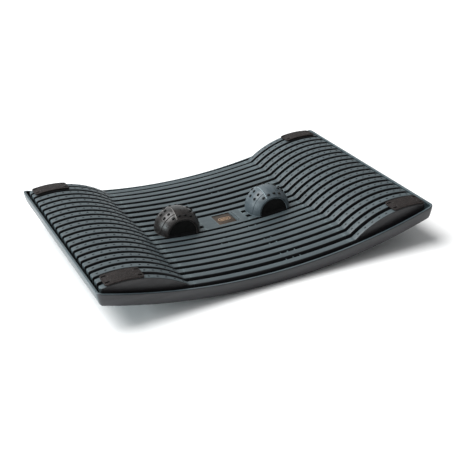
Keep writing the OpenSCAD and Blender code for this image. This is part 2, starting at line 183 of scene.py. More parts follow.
WHITE = (1, 1, 1)
COOL_LEFT = (0.86, 0.97, 1.0)
COOL_BACK = (0.88, 0.97, 1.0)
WORLD_STRENGTH = 0.3
FLOOR_GREY = 0.9
FLOOR_SIZE = 12


def add_light(name, kind, place, energy, colour=WHITE):
    """A light that points at the middle of the board."""
    light = bpy.data.lights.new(name, kind)
    light.energy = energy
    light.color = colour
    lamp = bpy.data.objects.new(name, light)
    lamp.location = place
    lamp.rotation_euler = (-Vector(place)).to_track_quat("-Z", "Y").to_euler()
    SCENE.collection.objects.link(lamp)
    return light


def add_softbox(name, place, size, power, colour):
    light = add_light(name, "AREA", place, power, colour)
    light.shape = "RECTANGLE"
    light.size, light.size_y = size


def add_floor():
    mesh = bpy.data.meshes.new("floor")
    floor = bpy.data.objects.new("floor", mesh)
    build = bmesh.new()
    bmesh.ops.create_grid(build, x_segments=2, y_segments=2, size=FLOOR_SIZE)
    build.to_mesh(mesh)
    build.free()
    material, _, shader = new_material("floor")
    shader.inputs["Base Color"].default_value = (FLOOR_GREY, FLOOR_GREY, FLOOR_GREY, 1)
    shader.inputs["Roughness"].default_value = 0.9
    shader.inputs["Specular IOR Level"].default_value = 0.1
    mesh.materials.append(material)
    SCENE.collection.objects.link(floor)


def add_studio():
    world = bpy.data.worlds.new("world")
    SCENE.world = world
    world.use_nodes = True
    background = world.node_tree.nodes["Background"]
    background.inputs["Color"].default_value = (*WHITE, 1)
    background.inputs["Strength"].default_value = WORLD_STRENGTH
    SCENE.view_settings.view_transform = "Standard"
    add_floor()
    overhead = add_light("overhead", "SUN", (-1.2, 0.75, 2.4), 3.9)
    overhead.angle = math.radians(46)
    add_softbox("softbox_left", (-2.1, 0.25, 0.6), (1.6, 0.9), 31, COOL_LEFT)
    add_softbox("softbox_back", (0.5, 2.3, 1.2), (2.4, 1.4), 9, COOL_BACK)


# ---- material nodes ----

EVEN = (1, 1, 1)


def new_material(name):
    material = bpy.data.materials.new(name)
    material.use_nodes = True
    return material, material.node_tree, material.node_tree.nodes["Principled BSDF"]


def put(tree, node, socket, value):
    if isinstance(value, bpy.types.NodeSocket):
        tree.links.new(value, node.inputs[socket])
    else:
        node.inputs[socket].default_value = value


def object_space(tree, stretch):
    """Place on the object in metres, stretched so that a pattern can run along one axis."""
    place = tree.nodes.new("ShaderNodeTexCoord")
    mapping = tree.nodes.new("ShaderNodeMapping")
    mapping.inputs["Scale"].default_value = stretch
    tree.links.new(place.outputs["Object"], mapping.inputs["Vector"])
    return mapping.outputs["Vector"]


def noise(tree, size, stretch=EVEN, detail=4, roughness=0.55):
    """Soft random pattern whose features are about `size` metres across."""
    node = tree.nodes.new("ShaderNodeTexNoise")
    put(tree, node, "Vector", object_space(tree, stretch))
    put(tree, node, "Scale", 1 / size)
    put(tree, node, "Detail", detail)
    put(tree, node, "Roughness", roughness)
    return node.outputs["Fac"]


def cells(tree, size):
    """Distance to the nearest edge between cells about `size` metres across."""
    node = tree.nodes.new("ShaderNodeTexVoronoi")
    node.feature = "DISTANCE_TO_EDGE"
    put(tree, node, "Vector", object_space(tree, EVEN))
    put(tree, node, "Scale", 1 / size)
    return node.outputs["Distance"]


def remap(tree, value, source, target):
    """Carries value from the source range onto the target range, clamped."""
    node = tree.nodes.new("ShaderNodeMapRange")
    put(tree, node, "Value", value)
    put(tree, node, "From Min", source[0])
    put(tree, node, "From Max", source[1])
    put(tree, node, "To Min", target[0])
    put(tree, node, "To Max", target[1])
    return node.outputs["Result"]


def blend_colours(tree, factor, low, high):
    node = tree.nodes.new("ShaderNodeMix")
    node.data_type = "RGBA"
    put(tree, node, "Factor", factor)
    for socket, value in (("A", low), ("B", high)):
        target = next(s for s in node.inputs if s.name == socket and s.type == "RGBA")
        if isinstance(value, bpy.types.NodeSocket):
            tree.links.new(value, target)
        else:
            target.default_value = (*value, 1)
    return next(s for s in node.outputs if s.type == "RGBA")


def combine(tree, operation, a, b):
    node = tree.nodes.new("ShaderNodeMath")
    node.operation = operation
    put(tree, node, 0, a)
    put(tree, node, 1, b)
    return node.outputs["Value"]


def add_bump(tree, height, distance, strength=1.0, under=None):
    node = tree.nodes.new("ShaderNodeBump")
    put(tree, node, "Height", height)
    put(tree, node, "Distance", distance)
    put(tree, node, "Strength", strength)
    if under is not None:
        tree.links.new(under, node.inputs["Normal"])
    return node.outputs["Normal"]


def edges(tree, low=0.5, high=0.56):
    """1 on sharp convex edges, 0 elsewhere."""
    node = tree.nodes.new("ShaderNodeNewGeometry")
    return remap(tree, node.outputs["Pointiness"], (low, high), (0, 1))


def front_back_shade_mask(tree):
    """Mask for painted shade: 1 on upright faces that look along the board's width, 0 on tops and ends."""
    place = tree.nodes.new("ShaderNodeTexCoord")
    parts = tree.nodes.new("ShaderNodeSeparateXYZ")
    tree.links.new(place.outputs["Normal"], parts.inputs["Vector"])
    return remap(tree, combine(tree, "ABSOLUTE", parts.outputs["Y"], 0), (0.25, 0.65), (0, 1))


# ---- materials ----

# Sizes of the fine patterns and depths of their relief, in metres
GRAIN = 0.0007
GRAIN_DEEP = 0.00006
PORE = 0.0009
PORE_DEEP = 0.00012
PEBBLE = 0.0022
PEBBLE_DEEP = 0.00022
SMALL_PEBBLE = 0.0009
SMALL_PEBBLE_DEEP = 0.00008
CREASE_SHADE = 0.45
BRUSH_LINE = 0.006
BRUSH_STRETCH = (1, 18, 18)
BRUSH_DEEP = 0.00003
FRONT_TO_BACK = (2.4, 0.6, 2.4)
STREAK = 0.011
STREAK_DEEP = 0.00009
FINE_GRAIN = 0.0006
FINE_GRAIN_DEEP = 0.00004


def moulded(name, dark, light, rough, blotch=0.022, stretch=EVEN, wear_and_highlight=None, sides=None):
    """Moulded plastic: blotches, fine grain, uneven gloss, paler worn edges, and painted shade that darkens
    the front and back faces.
    """
    material, tree, shader = new_material(name)
    patches = remap(tree, noise(tree, blotch, stretch), (0.36, 0.66), (0, 1))
    colour = blend_colours(tree, patches, dark, light)
    if wear_and_highlight:
        spots = remap(tree, noise(tree, 0.004), (0.4, 0.65), (0.1, 0.8))
        rub = combine(tree, "MULTIPLY", edges(tree), spots)
        colour = blend_colours(tree, rub, colour, wear_and_highlight)
    # Painted shade: faces that look to the front or back take darker colours.
    if sides:
        side_shade_colour = blend_colours(tree, patches, *sides)
        colour = blend_colours(tree, front_back_shade_mask(tree), colour, side_shade_colour)
    put(tree, shader, "Base Color", colour)
    gloss = noise(tree, blotch * 0.45, stretch, detail=6)
    put(tree, shader, "Roughness", remap(tree, gloss, (0.35, 0.68), rough))
    fine = noise(tree, GRAIN, detail=2)
    ripple = noise(tree, GRAIN * 9, stretch, detail=2)
    normal = add_bump(tree, fine, GRAIN_DEEP)
    put(tree, shader, "Normal", add_bump(tree, ripple, GRAIN_DEEP, 0.6, normal))
    return material


def rubber(name, dark, light, rough):
    """Matt rubber: dusty patches and fine pores."""
    material, tree, shader = new_material(name)
    dust = remap(tree, noise(tree, 0.012, detail=6), (0.4, 0.7), (0, 1))
    put(tree, shader, "Base Color", blend_colours(tree, dust, dark, light))
    put(tree, shader, "Roughness", remap(tree, noise(tree, 0.005), (0.35, 0.7), rough))
    put(tree, shader, "Specular IOR Level", 0.35)
    pores = remap(tree, cells(tree, PORE), (0, 0.25), (0, 1))
    put(tree, shader, "Normal", add_bump(tree, pores, PORE_DEEP, 0.8))
    return material


def leather_grain(name, dark, light):
    """Rubber with an embossed leather grain: pebbles parted by fine creases."""
    material, tree, shader = new_material(name)
    pebbles = remap(tree, cells(tree, PEBBLE), (0, 0.22), (0, 1))
    small = remap(tree, cells(tree, SMALL_PEBBLE), (0, 0.3), (0, 1))
    patches = remap(tree, noise(tree, 0.009, detail=6), (0.35, 0.68), (0, 1))
    tone = blend_colours(tree, patches, dark, light)
    crease = tuple(c * CREASE_SHADE for c in dark)
    put(tree, shader, "Base Color", blend_colours(tree, pebbles, crease, tone))
    put(tree, shader, "Roughness", remap(tree, noise(tree, 0.003), (0.3, 0.7), (0.55, 0.75)))
    put(tree, shader, "Specular IOR Level", 0.25)
    normal = add_bump(tree, small, SMALL_PEBBLE_DEEP, 0.6)
    put(tree, shader, "Normal", add_bump(tree, pebbles, PEBBLE_DEEP, 0.9, normal))
    return material


def brushed_metal(name, dark, light, rough):
    """Metal with tarnished patches, brushed along X."""
    material, tree, shader = new_material(name)
    lines = noise(tree, BRUSH_LINE, BRUSH_STRETCH, detail=8, roughness=0.7)
    tarnish = remap(tree, noise(tree, 0.006, detail=5), (0.35, 0.7), (0, 1))
    put(tree, shader, "Base Color", blend_colours(tree, tarnish, dark, light))
    put(tree, shader, "Metallic", 1.0)
    put(tree, shader, "Roughness", remap(tree, lines, (0.3, 0.7), rough))
    put(tree, shader, "Normal", add_bump(tree, lines, BRUSH_DEEP, 0.6))
    return material


def streaked(name, dark, light, rough, wear_and_highlight):
    """Two-tone flowing plastic, with streaks that run from the dome's front to its back, and paler sharp
    edges, partly wear and partly a painted highlight along the ridges.
    """
    material, tree, shader = new_material(name)
    flow = noise(tree, STREAK, FRONT_TO_BACK, detail=7, roughness=0.6)
    colour = blend_colours(tree, remap(tree, flow, (0.38, 0.64), (0, 1)), dark, light)
    # Paler colour on sharp edges: partly wear, partly a painted highlight along the dome's ridges.
    put(tree, shader, "Base Color", blend_colours(tree, edges(tree, 0.515, 0.56), colour, wear_and_highlight))
    gloss = noise(tree, 0.006, FRONT_TO_BACK)
    put(tree, shader, "Roughness", remap(tree, gloss, (0.35, 0.68), rough))
    normal = add_bump(tree, noise(tree, FINE_GRAIN, detail=2), FINE_GRAIN_DEEP)
    put(tree, shader, "Normal", add_bump(tree, flow, STREAK_DEEP, 0.5, normal))
    return material


ALONG_X = (0.35, 1.6, 1.6)
UPRIGHT_STREAKS = (0.12, 0.12, 1.4)
# deck_plastic and tray_plastic take darker colours on their front and back faces: painted shade.
MATERIALS = {
    "deck_plastic": moulded("deck_plastic", (0.038, 0.053, 0.06), (0.053, 0.071, 0.079), (0.42, 0.55),
                            stretch=ALONG_X, wear_and_highlight=(0.13, 0.17, 0.18),
                            sides=((0.014, 0.0132, 0.0152), (0.021, 0.0202, 0.0222))),
    "tray_plastic": moulded("tray_plastic", (0.036, 0.053, 0.061), (0.05, 0.07, 0.079), (0.3, 0.42),
                            blotch=0.02, stretch=UPRIGHT_STREAKS, wear_and_highlight=(0.1, 0.14, 0.155),
                            sides=((0.0145, 0.0148, 0.018), (0.031, 0.0322, 0.0365))),
    "runner_rubber": rubber("runner_rubber", (0.012, 0.012, 0.013), (0.035, 0.035, 0.036), (0.6, 0.8)),
    "stud_rubber": rubber("stud_rubber", (0.012, 0.015, 0.017), (0.022, 0.027, 0.03), (0.45, 0.65)),
    "pad_rubber": leather_grain("pad_rubber", (0.014, 0.0095, 0.0085), (0.027, 0.0195, 0.0175)),
    "badge_metal": brushed_metal("badge_metal", (0.056, 0.04, 0.03), (0.1, 0.07, 0.052), (0.4, 0.55)),
    "fastener_steel": brushed_metal("fastener_steel", (0.45, 0.46, 0.48), (0.62, 0.63, 0.65), (0.22, 0.4)),
    "rivet_steel": brushed_metal("rivet_steel", (0.06, 0.055, 0.055), (0.11, 0.1, 0.1), (0.35, 0.5)),
    "dome_dark": streaked("dome_dark", (0.008, 0.0065, 0.006), (0.019, 0.016, 0.0155), (0.27, 0.4),
                          wear_and_highlight=(0.11, 0.1, 0.095)),
    "dome_blue": streaked("dome_blue", (0.048, 0.066, 0.077), (0.072, 0.092, 0.105), (0.34, 0.48),
                          wear_and_highlight=(0.24, 0.3, 0.33)),
    "dome_core_rubber": rubber("dome_core_rubber", (0.004, 0.004, 0.004), (0.008, 0.008, 0.008), (0.7, 0.85)),
    "dome_base_plastic": moulded("dome_base_plastic", (0.01, 0.01, 0.011), (0.02, 0.02, 0.022), (0.45, 0.6)),
}
# Lighter colours for the faces along the left ridge: a painted highlight where the ridge catches the light.
RIDGE_HIGHLIGHT_MATERIALS = {
    "dome_dark": streaked("dome_dark_ridge_highlight", (0.12, 0.11, 0.105), (0.2, 0.185, 0.175), (0.3, 0.4),
                          wear_and_highlight=(0.3, 0.28, 0.26)),
    "dome_blue": streaked("dome_blue_ridge_highlight", (0.15, 0.2, 0.22), (0.22, 0.285, 0.31), (0.3, 0.4),
                          wear_and_highlight=(0.4, 0.48, 0.5)),
}
BADGE_MARK = brushed_metal("badge_mark", (0.4, 0.25, 0.15), (0.62, 0.41, 0.27), (0.28, 0.42))


def paint_cad_nodes():
    for part in frame["record"]["subparts"]:
        node = NODES[part["node"]]
        node.data.materials.clear()
        node.data.materials.append(MATERIALS[part["material_slot"]])


# ---- mesh helpers: every mesh is built in millimetres and scaled to metres at the end ----

SHARP_ANGLE = math.radians(35)


def finish_piece(build, name, slot, body, replaces, material=None):
    """Turns a bmesh in millimetres into a smooth-shaded piece that rides on a body."""
    bmesh.ops.recalc_face_normals(build, faces=build.faces)
    bmesh.ops.scale(build, vec=(MM, MM, MM), verts=build.verts)
    mesh = bpy.data.meshes.new(name)
    build.to_mesh(mesh)
    build.free()
    mesh.shade_smooth()
    mesh.set_sharp_from_angle(angle=SHARP_ANGLE)
    mesh.materials.append(material or MATERIALS[slot])
    piece = bpy.data.objects.new(name, mesh)
    SCENE.collection.objects.link(piece)
    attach(piece, body)
    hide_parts(*replaces)
    return piece


def add_rings(build, rings, cap=True):
    """Skins closed rings of points into a tube, with flat caps at its ends."""
    loops = [[build.verts.new(p) for p in ring] for ring in rings]
    count = len(loops[0])
    for near, far in zip(loops, loops[1:]):
        for k in range(count):
            build.faces.new((near[k], near[(k + 1) % count], far[(k + 1) % count], far[k]))
    if cap:
        build.faces.new(loops[0])
        build.faces.new(loops[-1][::-1])


def add_block(build, low, high, bevel=0.25):
    """A block between two corners, with its edges rounded off."""
    size = Vector(high) - Vector(low)
    centre = (Vector(high) + Vector(low)) / 2
    place = Matrix.Translation(centre) @ Matrix.Diagonal((*size, 1))
    made = bmesh.ops.create_cube(build, size=1, matrix=place)
    if bevel:
        links = {e for v in made["verts"] for e in v.link_edges}
        bmesh.ops.bevel(build, geom=list(links), offset=bevel, segments=2, affect="EDGES", profile=0.5)


def add_post(build, x, y, low, high, radius, segments=24):
    place = Matrix.Translation((x, y, (low + high) / 2))
    bmesh.ops.create_cone(build, cap_ends=True, segments=segments, radius1=radius, radius2=radius,
                          depth=high - low, matrix=place)


def four(u, v):
    """The four places that mirror (u, v) in both axes."""
    return [(sx * u, sy * v) for sx in (-1, 1) for sy in (-1, 1)]


# ---- bars of the deck ----


def bar_side(sign, depth, radius, inset):
    """One side of a bar's outline, from near its middle over the rounded edge down to its foot."""
    half = BAR_W / 2 - SLOT_EXTRA
    edge = half - inset
    points = [(sign * min(half * 0.35, edge - radius), BAR_CROWN * 0.15)]
    for k in range(6):
        a = math.radians(18 * k)
        points.append((sign * (edge - radius + radius * math.sin(a)),
                       BAR_CROWN + radius - radius * math.cos(a)))
    points.append((sign * edge, depth - BAR_FOOT))
    points.append((sign * (edge - BAR_FOOT), depth))
    return points


def bar_section(depth, front_r, back_r, front_in, back_in):
    """Closed outline (y, depth below the top) of a bar: a faintly crowned top and rounded upper edges."""
    return bar_side(1, depth, back_r, back_in) + bar_side(-1, depth, front_r, front_in)[::-1]


def edge_radii(y):
    """Upper edge radii towards the front and the back: the outermost bars are rounder on the outside."""
    if not is_outermost(y):
        return EDGE_R, EDGE_R
    return (OUTER_EDGE_R, EDGE_R) if y < 0 else (EDGE_R, OUTER_EDGE_R)


def path_normals(points):
    """Upward normal in XZ at each point of a path that runs along +X."""
    normals = []
    for k in range(len(points)):
        before = points[max(k - 1, 0)]
        after = points[min(k + 1, len(points) - 1)]
        along = Vector((after[0] - before[0], after[1] - before[1])).normalized()
        normals.append(Vector((-along.y, along.x)))
    return normals


def corner_inset(x):
    """How far the outermost bar's outer face draws in around the board's corner."""
    past = min(max(x - (BAR_END - CORNER_R), 0), CORNER_R)
    return CORNER_R - math.sqrt(CORNER_R ** 2 - past ** 2) if past else 0


def sweep_bar(build, path, y, side=1, depths=None, rounded_corner=False):
    """Sweeps a bar's section along path; side -1 mirrors it to the left end of the board."""
    front_r, back_r = edge_radii(y)
    rings = []
    for k, (point, normal) in enumerate(zip(path, path_normals(path))):
        depth = depths[k] if depths else BAR_T
        inset = min(corner_inset(point[0]), MAX_INSET) if rounded_corner and is_outermost(y) else 0
        front_in, back_in = (inset, 0) if y < 0 else (0, inset)
        section = bar_section(depth, front_r, back_r, front_in, back_in)
        rings.append([(side * (point[0] - normal.x * d), y + across, point[1] - normal.y * d)
                      for across, d in section])
    add_rings(build, rings)


def dish_path(start, stop, y, step=4.0):
    count = max(2, math.ceil((stop - start) / step))
    xs = [start + (stop - start) * k / count for k in range(count + 1)]
    return [(x, dish_height(x, y)) for x in xs]


def valley_x(y):
    """Where the pillow's arch rises out of the dish."""
    low, high = VALLEY_SEARCH
    for _ in range(30):
        middle = (low + high) / 2
        if pillow_height(middle, y) < dish_height(middle, y):
            low = middle
        else:
            high = middle
    return low


def bar_depth(x):
    """A pillow bar gets thinner towards its lip."""
    t = min(max((x - TAPER_START) / (NOSE_X - TAPER_START), 0), 1)
    return BAR_T + (LIP_T - BAR_T) * t * t * (3 - 2 * t)


def pillow_path(y, arch_steps=44, nose_steps=8):
    """Top line of a bar's pillow part, from the joint over valley and arch to the lip, and its depths."""
    valley = valley_x(y)
    start, stop = valley - VALLEY_FILLET, valley + VALLEY_FILLET
    path = dish_path(JOINT_X + JOINT_GAP, start, y, step=2.0)
    before, after = Vector(path[-1]), Vector((stop, pillow_height(stop, y)))
    corner = Vector((valley, dish_height(valley, y)))
    path += [tuple(before.lerp(corner, t).lerp(corner.lerp(after, t), t)) for t in (0.25, 0.5, 0.75)]
    arch_z, nose_z = PILLOW_Z - drop(y), NOSE_Z - drop(y)
    first = math.asin((stop - PILLOW_X) / PILLOW_R)
    for k in range(arch_steps + 1):
        angle = first + (NOSE_A - first) * k / arch_steps
        path.append((PILLOW_X + PILLOW_R * math.sin(angle), arch_z + PILLOW_R * math.cos(angle)))
    for k in range(1, nose_steps + 1):
        angle = NOSE_A + (math.pi / 2 - NOSE_A) * k / nose_steps
        path.append((NOSE_X + NOSE_R * math.sin(angle), nose_z + NOSE_R * math.cos(angle)))
    path += [(BAR_END, nose_z - LIP_H / 2), (BAR_END, nose_z - LIP_H)]
    return path, [bar_depth(x) for x, _ in path]


# ---- structure under the deck ----

RIB_T = 2.4
RIB_DEEP = BAR_T - 1.2
DISH_RIBS = (0, 46, 84, JOINT_X - RIB_T)
PILLOW_RIBS = (JOINT_X + RIB_T, 150, 196, 232)
SCREW_SPOTS = ((56, 96), (176, 96))
BOSS_R = 4.8
BOSS_FOOT_GAP = 4.2
BOSS_TOP_GAP = 3
WEB_T = 1.5
WEB_L = 6
WEB_SIDE_GAP = 0.3
WEB_END_GAP = 0.4
SKIRT_T = 2.4
SKIRT_IN = 0.4
SKIRT_END_GAP = 0.2
SKIRT_START = 130
SKIRT_BELOW = 2.4


def add_dish_ribs(build):
    for x in sorted({s * rib for rib in DISH_RIBS for s in (-1, 1)}):
        foot = floor_height(abs(x) + RIB_T)
        for index in range(BAR_COUNT):
            y = bar_y(index)
            half = BAR_PITCH / 2 if not is_outermost(y) else BAR_W / 2 - 1
            add_block(build, (x - RIB_T / 2, y - half, foot),
                      (x + RIB_T / 2, y + half, dish_height(x, y) - RIB_DEEP), bevel=0)


def add_pillow_ribs(build, side):
    half_w = DECK_HALF_W - 1
    for x in PILLOW_RIBS:
        low_x, high_x = sorted((side * (x - RIB_T / 2), side * (x + RIB_T / 2)))
        top = dish_height(x, 0) - RIB_DEEP
        if x >= SKIRT_START:
            top = min(pillow_height(x + s * RIB_T / 2, 0) for s in (-1, 1)) - RIB_DEEP - EDGE_DROP
        add_block(build, (low_x, -half_w, floor_height(x + RIB_T)), (high_x, half_w, top), bevel=0)


def add_bosses(build, spot, sides):
    for side in sides:
        for face in (-1, 1):
            x, y = side * spot[0], face * spot[1]
            top = dish_height(x, y) if spot[0] < JOINT_X else pillow_height(spot[0], y)
            add_post(build, x, y, floor_height(spot[0]) + BOSS_FOOT_GAP, top - BOSS_TOP_GAP, BOSS_R)


def add_end_webs(build, side):
    """Two upright webs carry the outer end of each bar down to the tray; the outer faces have the skirts."""
    low_x, high_x = sorted((side * (BAR_END - WEB_L - WEB_END_GAP), side * (BAR_END - WEB_END_GAP)))
    for index in range(BAR_COUNT):
        for face in (-1, 1):
            if index == (0 if face < 0 else BAR_COUNT - 1):
                continue
            y = bar_y(index) + face * (BAR_W / 2 - SLOT_EXTRA - WEB_T / 2 - WEB_SIDE_GAP)
            add_block(build, (low_x, y - WEB_T / 2, floor_height(DECK_HALF_LEN)),
                      (high_x, y + WEB_T / 2, NOSE_Z - drop(y) + 1), bevel=0.4)


def skirt_plan():
    """Plan of a skirt's outer face as (x, distance inwards): straight, round the corner, along the end."""
    end = BAR_END - SKIRT_IN - SKIRT_END_GAP
    plan = [(x, 0.0) for x in range(SKIRT_START, int(end - CORNER_R), 5)]
    for k in range(7):
        a = math.radians(15 * k)
        plan.append((end - CORNER_R + CORNER_R * math.sin(a), CORNER_R - CORNER_R * math.cos(a)))
    plan.append((end, BAR_W - 1.5))
    return plan


def skirt_top(x):
    """Top of a skirt, hidden inside the bar above it."""
    if x > NOSE_X:
        return NOSE_Z - EDGE_DROP + math.sqrt(max(NOSE_R ** 2 - (x - NOSE_X) ** 2, 0)) - LIP_T * 0.6
    return pillow_height(x, DECK_HALF_W) - SKIRT_BELOW


def add_skirt(build, side, face):
    plan = skirt_plan()
    rings = []
    for k, (x, inwards) in enumerate(plan):
        before, after = plan[max(k - 1, 0)], plan[min(k + 1, len(plan) - 1)]
        along = Vector((after[0] - before[0], after[1] - before[1])).normalized()
        inner = (x - along.y * SKIRT_T, inwards + along.x * SKIRT_T)
        top, foot = skirt_top(x), floor_height(min(x, DECK_HALF_LEN))
        outer_y, inner_y = (face * (DECK_HALF_W - SKIRT_IN - v) for v in (inwards, inner[1]))
        rings.append([(side * x, outer_y, foot), (side * x, outer_y, top),
                      (side * inner[0], inner_y, top), (side * inner[0], inner_y, foot)])
    add_rings(build, rings)


# ---- middle panel ----

RULE_X = BADGE_HIGH.x + 2
RULE_HALF_W = 0.6
RELIEF_H = 0.6
GROOVE_X = BADGE_HIGH.x + 4.6
GROOVE_HALF_W = 0.5
GROOVE_END = 2
BADGE_GAP = 0.25
STEP = 0.25
PANEL_GRID = 2.5
PANEL_EDGE_LINE = PANEL_HALF_W - 0.7


def steps_between(low, high, step):
    count = max(1, math.ceil((high - low) / step))
    return [low + (high - low) * k / count for k in range(count + 1)]


def soft_box(value, low, high, edge=STEP):
    """1 between low and high, 0 outside, with a short ramp at each end."""
    rise = min(max((value - low + edge) / edge, 0), 1)
    fall = min(max((high + edge - value) / edge, 0), 1)
    return min(rise, fall)


def rounding(distance, radius):
    """Fall of a rounded edge at a distance from the end of a face."""
    if distance >= radius:
        return 0
    return radius - math.sqrt(max(radius ** 2 - (radius - distance) ** 2, 0))


def panel_relief(x, y):
    """Height of the panel over the dish: badge recess, raised rule, groove and rounded outer edges."""
    in_badge = (soft_box(x, BADGE_LOW.x - BADGE_GAP, BADGE_HIGH.x + BADGE_GAP)
                * soft_box(y, BADGE_LOW.y - BADGE_GAP, BADGE_HIGH.y + BADGE_GAP))
    on_rule = (soft_box(x, RULE_X - RULE_HALF_W, RULE_X + RULE_HALF_W)
               * soft_box(y, BADGE_LOW.y, BADGE_HIGH.y))
    in_groove = (soft_box(x, GROOVE_X - GROOVE_HALF_W, GROOVE_X + GROOVE_HALF_W)
                 * soft_box(y, BADGE_LOW.y + GROOVE_END, BADGE_HIGH.y - GROOVE_END))
    relief = RELIEF_H * (on_rule - in_groove) - BADGE_RECESS * in_badge
    return relief - rounding(PANEL_HALF_W - abs(y), EDGE_R) - rounding(PANEL_HALF_LEN - abs(x), PANEL_EDGE)


def grid_lines(half, centres):
    """Even lines from -half to half, with close pairs at every edge in the relief."""
    lines = set(round(v, 4) for v in steps_between(-half, half, PANEL_GRID))
    for centre in centres:
        lines |= {round(centre - STEP, 4), round(centre, 4), round(centre + STEP, 4)}
    return sorted(v for v in lines if abs(v) <= half)


def add_panel(build):
    xs = grid_lines(PANEL_HALF_LEN, (BADGE_LOW.x - BADGE_GAP, BADGE_HIGH.x + BADGE_GAP,
                                     RULE_X - RULE_HALF_W, RULE_X + RULE_HALF_W,
                                     GROOVE_X - GROOVE_HALF_W, GROOVE_X + GROOVE_HALF_W,
                                     -PANEL_HALF_LEN, PANEL_HALF_LEN))
    ys = grid_lines(PANEL_HALF_W, (BADGE_LOW.y - BADGE_GAP, BADGE_HIGH.y + BADGE_GAP,
                                   BADGE_LOW.y, BADGE_HIGH.y,
                                   BADGE_LOW.y + GROOVE_END, BADGE_HIGH.y - GROOVE_END,
                                   -PANEL_HALF_W, PANEL_HALF_W, -PANEL_EDGE_LINE, PANEL_EDGE_LINE))
    top = [[build.verts.new((x, y, dish_height(x, 0) + panel_relief(x, y))) for y in ys] for x in xs]
    low = [[build.verts.new((x, y, dish_height(x, 0) - BAR_T)) for y in ys] for x in xs]
    for i in range(len(xs) - 1):
        for j in range(len(ys) - 1):
            build.faces.new((top[i][j], top[i + 1][j], top[i + 1][j + 1], top[i][j + 1]))
            build.faces.new((low[i][j], low[i][j + 1], low[i + 1][j + 1], low[i + 1][j]))
    for i in range(len(xs) - 1):
        for j in (0, len(ys) - 1):
            build.faces.new((top[i][j], low[i][j], low[i + 1][j], top[i + 1][j]))
    for j in range(len(ys) - 1):
        for i in (0, len(xs) - 1):
            build.faces.new((top[i][j], top[i][j + 1], low[i][j + 1], low[i][j]))


# ---- the three deck mouldings ----

# Ties as (slot number, count), by side
TIES = {1: ((0, 3), (1, 3), (3, 2), (4, 2), (7, 2), (8, 1), (15, 2), (16, 2), (18, 2), (19, 2)),
        -1: ((5, 2), (6, 1), (14, 2))}
TIE_FIRST_X = 24
TIE_STEP = 11
TIE_T = 1.4
TIE_BELOW = 2.2


def add_ties(build):
    """Small ties that cross some slots below the tops of the bars."""
    reach = (BAR_PITCH - BAR_W) / 2 + 1
    for side, rows in TIES.items():
        for index, count in rows:
            for k in range(count):
                x = side * (TIE_FIRST_X + k * TIE_STEP)
                y = bar_y(index) + BAR_PITCH / 2
                z = min(dish_height(x, bar_y(index)), dish_height(x, bar_y(index + 1)))
                add_block(build, (x - TIE_T / 2, y - reach, z - BAR_T + 1),
                          (x + TIE_T / 2, y + reach, z - TIE_BELOW))


def build_deck_middle():
    build = bmesh.new()
    for index in range(BAR_COUNT):
        y = bar_y(index)
        if abs(y) > PANEL_ZONE:
            sweep_bar(build, dish_path(-JOINT_X, JOINT_X, y), y)
            continue
        for start, stop in ((-JOINT_X, PANEL_EDGE - PANEL_HALF_LEN), (PANEL_HALF_LEN - PANEL_EDGE, JOINT_X)):
            sweep_bar(build, dish_path(start, stop, y), y)
    add_panel(build)
    add_ties(build)
    add_dish_ribs(build)
    add_bosses(build, SCREW_SPOTS[0], (-1, 1))
    finish_piece(build, "deck_middle", "deck_plastic", "board", ["top_deck"])


def build_pillow(name, side, node):
    build = bmesh.new()
    for index in range(BAR_COUNT):
        y = bar_y(index)
        path, depths = pillow_path(y)
        sweep_bar(build, path, y, side, depths, rounded_corner=True)
    for face in (-1, 1):
        add_skirt(build, side, face)
    add_end_webs(build, side)
    add_pillow_ribs(build, side)
    add_bosses(build, SCREW_SPOTS[1], (side,))
    finish_piece(build, name, "deck_plastic", "board", [node])


# ---- studs on the pillows ----

STUD_FIRST_X = 133.5
STUD_STEP = 11.5
STUD_COUNT = 10
STUD_RADII = (1.8, 1.1, 0.7)
PAD_SIZE = (52, 26)
PAD_Y = (MIDDLE_BAR - 0.5) * BAR_PITCH


def pad_x(side, face):
    low, high = corners(f"grip_pad_{'front' if face < 0 else 'back'}_{'left' if side < 0 else 'right'}")
    return (low.x + high.x) / 2


def under_pad(x, y):
    middle = pad_x(math.copysign(1, x), math.copysign(1, y))
    return abs(abs(y) - PAD_Y) < PAD_SIZE[1] / 2 and abs(x - middle) < PAD_SIZE[0] / 2 + 2


def build_studs(name, side, node):
    """Low lentil-shaped studs, longer along the bar than across it."""
    build = bmesh.new()
    for index in range(BAR_COUNT):
        for k in range(STUD_COUNT):
            x, y = side * (STUD_FIRST_X + k * STUD_STEP), bar_y(index)
            if under_pad(x, y):
                continue
            tilt = math.asin((x - side * PILLOW_X) / PILLOW_R)
            place = Matrix.Translation((x, y, pillow_height(abs(x), y))) @ Matrix.Rotation(tilt, 4, "Y")
            bmesh.ops.create_uvsphere(build, u_segments=12, v_segments=8, radius=1,
                                      matrix=place @ Matrix.Diagonal((*STUD_RADII, 1)))
    finish_piece(build, name, "stud_rubber", "board", [node])


# ---- tray ----

TRAY_LOW = corners("base_tray")[0]
HALF_LEN = -TRAY_LOW.x
HALF_W = -TRAY_LOW.y
TRAY_CORNER_R = 8
CORNER_SIGNS = ((1, -1), (1, 1), (-1, 1), (-1, -1))
CORNER_STEPS = 8
END_STEPS = 16
SIDE_STEPS = 48
TRAY_R = 842
RIM_R = 852
RIM_MID_Z = 20.2
RIM_LIP = 3.4
RIM_EDGE = 1.3
WALL_T = 2.4
DRAFT = 3.2
DRAFT_POWER = 1.7
DRAFT_SLOPE = math.atan(DRAFT_POWER * DRAFT / 16.3)
LOWER_R = 3.2
LOWER_FALL = LOWER_R * (1 - math.sin(DRAFT_SLOPE))
HEAD_HOLE_R = 4
HEAD_HOLE_DEEP = 3.4
SHAFT_HOLE_R = 2
